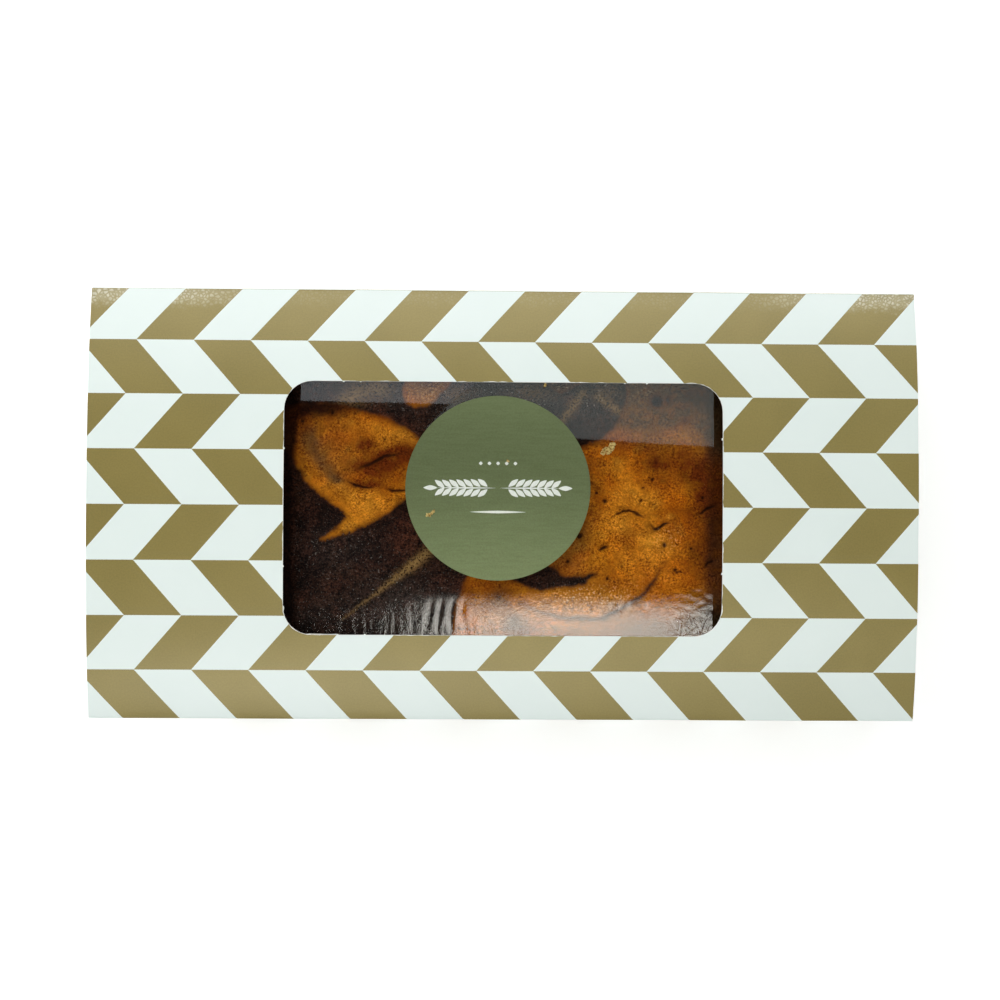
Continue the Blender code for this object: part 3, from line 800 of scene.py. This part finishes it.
def make_end(name, sign):
    face_x = HALF_LENGTH - END_RECESS
    turn = END_FOLD * math.pi / 2
    side = HALF_WIDTH - BOARD - END_CLEARANCE
    points = [(-side, 0), (side, 0)]
    for y in np.linspace(side, -side, ARCH_CUTS + 1):
        arch_y, arch_z = arch_point(y, BOARD + END_CLEARANCE)
        points.append((y, arch_z - END_FOLD + turn))
    bm = bmesh.new()
    bmesh.ops.triangle_fill(bm, use_beauty=True, use_dissolve=False, edges=outline_edges(bm, points))
    cut_lines(bm, [turn * n / 6 for n in range(1, 7)], (0, 1, 0))
    cut_lines(bm, np.linspace(10 * MM, 60 * MM, 6), (0, 1, 0))
    cut_lines(bm, np.linspace(-50 * MM, 50 * MM, 11), (1, 0, 0))
    if sum(face.normal.z for face in bm.faces) * sign < 0:
        bmesh.ops.reverse_faces(bm, faces=bm.faces)
    under = round_place[0] + (HALF_WIDTH - BOARD)
    blank_map(bm, lambda co: (sign * (face_x - END_FOLD + co.y) / MM, (round_place[0] + side - co.x) / MM))
    for vert in bm.verts:
        y, t = vert.co.x, vert.co.y
        angle = min(t / END_FOLD, math.pi / 2)
        rise = max(0, t - turn)
        hollow = 0.35 * MM * math.sin(math.pi * min(1, rise / (70 * MM))) * math.cos(y / side * math.pi / 2)
        x = face_x - END_FOLD + END_FOLD * math.sin(angle) - hollow
        vert.co = (sign * x, y, END_FOLD - END_FOLD * math.cos(angle) + rise)
    mesh = bpy.data.meshes.new(name)
    bm.to_mesh(mesh)
    bm.free()
    mesh.shade_smooth()
    end = place_piece(name, mesh, *board_materials)
    board_thickness(end, BOARD)
    return end


for name, sign in (("carton_end_left", -1), ("carton_end_right", 1)):
    end = make_end(name, sign)
    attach(end, "root")
    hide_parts("carton")


# Window film
# A strip of clear film, glued to the inside of the top panel in front of and behind the window.
# It is a little shorter than the window, bends with the panel and has a few soft wrinkles.

film_low, film_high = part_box("window_film")
FILM = 0.05 * MM
FILM_CELL = 0.6 * MM
# Pleats at the film's front edge: place along the window, width and depth in millimetres
PLEATS = [(31.5, 0.6, 0.07), (34.6, 0.5, 0.10), (37.2, 0.6, 0.09), (42.8, 0.4, 0.10), (-13, 0.9, 0.05),
          (-16.2, 1.0, 0.07), (-19.5, 0.9, 0.06), (-22.5, 1.0, 0.05)]


def film_ripple(x, y):
    """How far the film stands off its smooth curve: soft waves, and creases near the front."""
    ripple = 0.05 * MM * noise.noise(Vector((x / (30 * MM), y / (40 * MM), 2)))
    front = math.exp(-(((y + 41 * MM) / (7 * MM)) ** 2))
    pleats = noise.noise(Vector((x / (1.7 * MM), y / (14 * MM), 8)))
    crumple = math.exp(-(((x - 60 * MM) / (6 * MM)) ** 2 + ((y + 33 * MM) / (6 * MM)) ** 2))
    facets = noise.noise(Vector((x / (1.8 * MM), y / (1.8 * MM), 4)))
    ripple += 0.06 * MM * front * pleats + 0.12 * MM * crumple * facets
    for pleat_x, width, depth in PLEATS:
        lean = 0.12 * (y + 36 * MM)
        across = math.exp(-(((x - pleat_x * MM - lean) / (width * MM)) ** 2))
        rise = np.interp(y, (-39.5 * MM, -31.5 * MM, -28 * MM), (0, 1, 0))
        ripple += depth * MM * across * rise
    return ripple


def film_material():
    """Clear film: what is under it shows through, and it mirrors the lights."""
    material, tree, shader = new_material("clear_film")
    tree.nodes.remove(shader)
    clear = make_node(tree, "ShaderNodeBsdfTransparent", {"Color": (1, 1, 1, 1)})
    place = make_node(tree, "ShaderNodeTexCoord").outputs["Object"]
    axes = make_node(tree, "ShaderNodeSeparateXYZ", {0: place}).outputs
    near_front = between(tree, axes[1], -36 * MM, -23 * MM, 1.0, 0.06)
    corner_depth = between(tree, axes[1], -36 * MM, -27 * MM, 1.0, 0.0)
    near_corner = calculate(tree, "MULTIPLY", corner_depth, between(tree, axes[0], 44 * MM, 60 * MM, 0.15))
    wrinkle = calculate(tree, "MULTIPLY", grain(tree, place, 1.3 * MM, 3, 0.6), 0.7)
    crease = calculate(tree, "ABSOLUTE", calculate(tree, "SUBTRACT", grain(tree, place, 2.4 * MM, 2, 0.6), 0.5))
    crease = between(tree, crease, 0, 0.045)
    height = calculate(tree, "MULTIPLY", wrinkle, near_front)
    height = calculate(tree, "MULTIPLY_ADD", crease, calculate(tree, "MULTIPLY", near_corner, 0.8), height)
    bent = make_node(tree, "ShaderNodeBump", {"Height": height, "Distance": 0.035 * MM}).outputs[0]
    gloss = make_node(tree, "ShaderNodeBsdfGlossy", {"Color": (1, 1, 1, 1), "Roughness": 0.02, "Normal": bent})
    facing = make_node(tree, "ShaderNodeLayerWeight", {"Blend": 0.5}).outputs["Facing"]
    glancing = calculate(tree, "POWER", facing, 5.0)
    mirrored = calculate(tree, "MULTIPLY_ADD", glancing, 0.9, 0.042)
    surface = make_node(tree, "ShaderNodeMixShader", {0: mirrored, 1: clear.outputs[0], 2: gloss.outputs[0]})
    tree.links.new(surface.outputs[0], tree.nodes["Material Output"].inputs["Surface"])
    return material


def make_film():
    length = film_high.x - film_low.x
    width = film_high.y - film_low.y
    middle = (film_low + film_high) / 2
    bm = bmesh.new()
    bmesh.ops.create_grid(bm, x_segments=round(length / FILM_CELL), y_segments=round(width / FILM_CELL), size=0.5)
    for vert in bm.verts:
        x = middle.x + vert.co.x * length
        y = middle.y + vert.co.y * width
        arch_y, arch_z = arch_point(y, BOARD + 0.05 * MM)
        vert.co = (x, arch_y, arch_z - abs(film_ripple(x, y)))
    mesh = bpy.data.meshes.new("film")
    bm.to_mesh(mesh)
    bm.free()
    mesh.shade_smooth()
    film = place_piece("film", mesh, film_material())
    board_thickness(film, FILM, inner=0, rim=0)
    return film


film = make_film()
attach(film, "root")
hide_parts("window_film")


# Label
# A round of smooth sage green paper, stuck on the film, that bends with it. Its print is a plain
# pair of wheat ears in white, over a short rule.

label_low, label_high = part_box("label")
LABEL_RADIUS = (label_high.x - label_low.x) / 2
LABEL_X = (label_low.x + label_high.x) / 2
LABEL_Y = (label_low.y + label_high.y) / 2
LABEL_PAPER = 0.12 * MM
LABEL_INSET = BOARD - 0.15 * MM
LABEL_RINGS = 22
LABEL_STEPS = 144
INK = 0.03 * MM
GRAINS = 7


def lay_on_arch(mesh_verts, inset):
    """Brings flat shapes, drawn about the label's middle, on to the curve of the top panel."""
    for vert in mesh_verts:
        y = LABEL_Y + vert.co.y
        arch_y, arch_z = arch_point(y, inset)
        vert.co = (LABEL_X + vert.co.x, y, arch_z + vert.co.z)


def label_material():
    material, tree, shader = new_material("sage_paper", Metallic=0.6, Roughness=0.33)
    place = make_node(tree, "ShaderNodeTexCoord").outputs["Object"]
    streaks = make_node(tree, "ShaderNodeMapping", {"Vector": place, "Scale": (0.12, 1, 1)}).outputs[0]
    lines = grain(tree, streaks, 0.8 * MM, 2)
    fleck = grain(tree, place, 0.45 * MM, 2)
    green = mix_colour(tree, between(tree, lines, 0.3, 0.7), (0.160, 0.198, 0.087), (0.175, 0.216, 0.096))
    green = mix_colour(tree, 1.0, green, between(tree, fleck, 0.3, 0.7, 0.93, 1.07), "MULTIPLY")
    tree.links.new(green, shader.inputs["Base Color"])
    bumps(tree, shader, (fleck, 0.012 * MM))
    return material


def ink_material():
    material, tree, shader = new_material("white_ink", Specular_IOR_Level=0.5, Roughness=0.4)
    place = make_node(tree, "ShaderNodeTexCoord").outputs["Object"]
    cover = between(tree, grain(tree, place, 0.5 * MM, 2), 0.3, 0.7, 0.94, 1.02)
    tree.links.new(mix_colour(tree, 1.0, (0.82, 0.85, 0.78), cover, "MULTIPLY"), shader.inputs["Base Color"])
    return material


def make_label():
    bm = bmesh.new()
    line = [bm.verts.new((LABEL_RADIUS * n / LABEL_RINGS, 0, 0)) for n in range(LABEL_RINGS + 1)]
    edges = [bm.edges.new(pair) for pair in zip(line, line[1:])]
    bmesh.ops.spin(bm, geom=line + edges, cent=(0, 0, 0), axis=(0, 0, 1), angle=2 * math.pi,
                   steps=LABEL_STEPS, use_merge=True)
    bmesh.ops.remove_doubles(bm, verts=bm.verts, dist=1e-6)
    bmesh.ops.recalc_face_normals(bm, faces=bm.faces)
    if sum(face.normal.z for face in bm.faces) < 0:
        bmesh.ops.reverse_faces(bm, faces=bm.faces)
    lay_on_arch(bm.verts, LABEL_INSET)
    mesh = bpy.data.meshes.new("round_label")
    bm.to_mesh(mesh)
    bm.free()
    mesh.shade_smooth()
    label = place_piece("round_label", mesh, label_material())
    board_thickness(label, LABEL_PAPER, inner=0, rim=0)
    return label


def leaf_shape(bm, length, width, x, y, turn):
    """A flat pointed oval about (x, y), its long axis turned from +X."""
    made = bmesh.ops.create_circle(bm, cap_ends=True, segments=20, radius=1)["verts"]
    for vert in made:
        vert.co = (vert.co.x * length / 2, vert.co.y * (1 - abs(vert.co.x)) ** 0.35 * width / 2, 0)
    bmesh.ops.rotate(bm, verts=made, cent=(0, 0, 0), matrix=Matrix.Rotation(math.radians(turn), 3, "Z"))
    bmesh.ops.translate(bm, verts=made, vec=(x, y, 0))


def make_wheat():
    """Two wheat ears that lie end to end, each a stem with paired grains, and a rule below."""
    bm = bmesh.new()
    for side in (1, -1):
        for n in range(GRAINS):
            x = side * (4.6 + 2.15 * n) * MM
            rise = 1.55 * (1 - 0.04 * n) * MM
            for flank in (1, -1):
                leaf_shape(bm, 3.7 * MM, 1.5 * MM, x, flank * rise, side * flank * 38)
        leaf_shape(bm, 4.2 * MM, 1.5 * MM, side * 20.3 * MM, 0, 0)
        leaf_shape(bm, 36 * MM / 2, 0.45 * MM, side * 9.5 * MM, 0, 0)
    for n in range(-2, 3):
        leaf_shape(bm, 1.1 * MM, 1.1 * MM, n * 2.6 * MM, 7.4 * MM, 0)
    leaf_shape(bm, 17 * MM, 0.8 * MM, 0, -7.2 * MM, 0)
    lay_on_arch(bm.verts, LABEL_INSET)
    bmesh.ops.translate(bm, verts=bm.verts, vec=(0, 0, INK))
    bmesh.ops.recalc_face_normals(bm, faces=bm.faces)
    if sum(face.normal.z for face in bm.faces) < 0:
        bmesh.ops.reverse_faces(bm, faces=bm.faces)
    mesh = bpy.data.meshes.new("wheat_print")
    bm.to_mesh(mesh)
    bm.free()
    wheat = place_piece("wheat_print", mesh, ink_material())
    board_thickness(wheat, INK, inner=0, rim=0)
    return wheat


for piece in (make_label(), make_wheat()):
    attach(piece, "root")
    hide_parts("label")


# Crumbs
# A few flakes of golden crumb that fell on the film and the label when the carton was filled.

# Each crumb: its place, length, width, bend, number of grains and their size in millimetres, its
# turn and what it lies on
CRUMBS = [
    (31.4, 16.7, 4.6, 2.2, 0.3, 60, 0.36, 38, BOARD),
    (-21.6, -2.8, 3.0, 0.5, 0.6, 16, 0.30, 35, LABEL_INSET),
    (-22.6, -3.6, 1.2, 0.4, 0.1, 6, 0.26, 5, LABEL_INSET),
    (1.1, 13.0, 0.8, 0.6, 0, 6, 0.26, 0, LABEL_INSET),
    (12.1, 36.1, 1.0, 0.6, 0, 7, 0.26, 40, BOARD),
]


def make_crumbs():
    bm = bmesh.new()
    chance = np.random.default_rng(6)
    for x, y, length, width, bend, grains, size, turn, inset in CRUMBS:
        _, arch_z = arch_point(y * MM, inset)
        for _ in range(grains):
            along, aside, stretch, lift = chance.uniform(-1, 1, 4)
            made = bmesh.ops.create_icosphere(bm, subdivisions=2, radius=size * (1 + 0.45 * stretch))["verts"]
            spot = Vector((along * length / 2, aside * math.sqrt(1 - along**2) * width / 2 + bend * along**2,
                           size * (0.8 + 0.5 * lift)))
            for vert in made:
                uneven = 1 + 0.6 * noise.noise(vert.co * 2.5 + spot * 7)
                vert.co = (vert.co * uneven + spot) * MM
            bmesh.ops.rotate(bm, verts=made, cent=(0, 0, 0), matrix=Matrix.Rotation(math.radians(turn), 3, "Z"))
            bmesh.ops.translate(bm, verts=made, vec=(x * MM, y * MM, arch_z))
    mesh = bpy.data.meshes.new("crumbs")
    bm.to_mesh(mesh)
    bm.free()
    mesh.shade_smooth()
    material, tree, shader = new_material("crumb_flake", Roughness=0.7, Specular_IOR_Level=0.3)
    place = make_node(tree, "ShaderNodeTexCoord").outputs["Object"]
    fine = grain(tree, place, 0.6 * MM, 3)
    colour = mix_colour(tree, between(tree, fine, 0.35, 0.62), (0.26, 0.145, 0.030), (0.66, 0.50, 0.18))
    tree.links.new(colour, shader.inputs["Base Color"])
    bumps(tree, shader, (fine, 0.2 * MM))
    return place_piece("crumbs", mesh, material)


crumbs = make_crumbs()
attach(crumbs, "root")


# Table, lights and camera
# A plain white table, two large soft panels whose mirror images show in the film, a key light
# from behind on the left, a fill and a pale sky that is dark straight overhead.

TABLE_SIZE = 6.0


def make_table():
    bm = bmesh.new()
    bmesh.ops.create_grid(bm, x_segments=1, y_segments=1, size=TABLE_SIZE / 2)
    bmesh.ops.translate(bm, verts=bm.verts, vec=(0, 0, -0.0002))
    mesh = bpy.data.meshes.new("table")
    bm.to_mesh(mesh)
    bm.free()
    material, tree, shader = new_material("white_table", Base_Color=(0.93, 0.93, 0.93, 1), Roughness=0.8,
                                          Specular_IOR_Level=0.1, Emission_Color=(1, 1, 1, 1),
                                          Emission_Strength=0.43)
    return place_piece("table", mesh, material)


def area_light(name, place, target, size, size_y, radiance, roll=0.0, colour=(1, 1, 1)):
    """A soft panel that faces a target; its power follows from its radiance and its size."""
    light = bpy.data.lights.new(name, "AREA")
    light.shape = "RECTANGLE"
    light.size = size
    light.size_y = size_y
    light.energy = radiance * math.pi * size * size_y
    light.color = colour
    lamp = bpy.data.objects.new(name, light)
    bpy.context.scene.collection.objects.link(lamp)
    aim = (Vector(target) - Vector(place)).to_track_quat("-Z", "Y").to_matrix().to_4x4()
    lamp.matrix_world = Matrix.Translation(place) @ aim @ Matrix.Rotation(math.radians(roll), 4, "Z")
    return lamp


def flat_panel(name, corner, along, deep, turn, radiance, soft_edge, soft_ends=(0.001, 0.001), colour=(1, 1, 1)):
    """A level panel above the table. Its near edge starts at a corner, runs along, and is turned in
    plan; it reaches its full radiance at soft_edge from that edge and at soft_ends from its ends."""
    bm = bmesh.new()
    bmesh.ops.create_grid(bm, x_segments=1, y_segments=1, size=0.5)
    bmesh.ops.translate(bm, verts=bm.verts, vec=(0.5, 0.5, 0))
    bmesh.ops.scale(bm, verts=bm.verts, vec=(along, deep, 1))
    mesh = bpy.data.meshes.new(name)
    bm.to_mesh(mesh)
    bm.free()
    material = bpy.data.materials.new(name)
    material.use_nodes = True
    tree = material.node_tree
    tree.nodes.clear()
    place = make_node(tree, "ShaderNodeTexCoord").outputs["Object"]
    axes = make_node(tree, "ShaderNodeSeparateXYZ", {0: place}).outputs
    inward = between(tree, calculate(tree, "ABSOLUTE", axes[1]), 0, soft_edge)
    start = between(tree, axes[0], 0, soft_ends[0], 0, radiance)
    end = between(tree, axes[0], along - soft_ends[1], along, 1, 0)
    strength = calculate(tree, "MULTIPLY", inward, calculate(tree, "MULTIPLY", start, end))
    glow = make_node(tree, "ShaderNodeEmission", {"Color": (*colour, 1), "Strength": strength})
    make_node(tree, "ShaderNodeOutputMaterial", {"Surface": glow.outputs[0]})
    panel = place_piece(name, mesh, material)
    panel.matrix_world = (Matrix.Translation(corner)
                          @ Matrix.Rotation(math.radians(turn), 4, "Z"))


def set_sky():
    """A sky that is dark straight overhead and brightens towards the horizon."""
    world = bpy.data.worlds.new("sky")
    bpy.context.scene.world = world
    world.use_nodes = True
    tree = world.node_tree
    ray = make_node(tree, "ShaderNodeTexCoord").outputs["Generated"]
    height = make_node(tree, "ShaderNodeSeparateXYZ", {0: ray}).outputs[2]
    strength = between(tree, height, 0.78, 0.95, 0.42, 0.01)
    tree.links.new(strength, tree.nodes["Background"].inputs["Strength"])
    tree.nodes["Background"].inputs["Color"].default_value = (0.97, 1.0, 1.0, 1)


def set_camera():
    """A long lens above the carton, a little to the left and front of its middle."""
    crown = (cad_low + cad_high) / 2
    crown.z = cad_high.z
    place = crown + Vector((-20.43, -11.58, 749.65)) * MM
    aim_x = 0.02554
    aim_y = 0.01719
    roll = -0.0062
    ahead = Vector((math.sin(aim_x), math.cos(aim_x) * math.sin(aim_y), -math.cos(aim_x) * math.cos(aim_y)))
    right = Vector((math.cos(aim_x), -math.sin(aim_x) * math.sin(aim_y), math.sin(aim_x) * math.cos(aim_y)))
    up = Vector((0, math.cos(aim_y), math.sin(aim_y)))
    turned_right = math.cos(roll) * right - math.sin(roll) * up
    turned_up = math.sin(roll) * right + math.cos(roll) * up
    camera = bpy.data.cameras.new("camera")
    camera.lens = 90
    camera.sensor_width = 36
    camera.clip_start = 0.01
    camera.clip_end = 50
    holder = bpy.data.objects.new("camera", camera)
    bpy.context.scene.collection.objects.link(holder)
    turn = Matrix((turned_right, turned_up, -ahead)).transposed().to_4x4()
    holder.matrix_world = Matrix.Translation(place) @ turn
    bpy.context.scene.camera = holder


make_table()
flat_panel("back_panel_left", (-0.60, 0.340, 1.002), 0.623, 0.13, -5.6, 0.84, 0.003, colour=(0.95, 1.0, 1.04))
flat_panel("back_panel_right", (-0.03, 0.2034, 1.0), 0.75, 0.27, -12.8, 0.68, 0.003, colour=(0.92, 1.0, 0.97))
flat_panel("window_panel", (-0.50, 0.49, 1.004), 1.0, 0.34, 0, 2.6, 0.05, (0.40, 0.45))
flat_panel("far_panel", (-0.70, 0.85, 1.0), 1.6, 0.5, 0, 3.4, 0.10)
flat_panel("front_panel", (-0.055, -0.207, 1.0), 0.30, -0.26, 0, 4.8, 0.10, (0.07, 0.06), (1.0, 0.97, 0.88))
flat_panel("label_panel", (0.008, -0.065, 1.0), 0.034, -0.06, 0, 52.0, 0.012, (0.008, 0.008))
flat_panel("low_front_panel", (-0.42, -0.475, 1.0), 0.6, -0.35, 0, 5.6, 0.05, (0.25, 0.3))
area_light("key_light", (-1.0, 0.15, 0.85), (0, 0, 0.05), 0.5, 0.5, 8.2)
set_sky()
set_camera()
bpy.context.scene.view_settings.view_transform = "Standard"
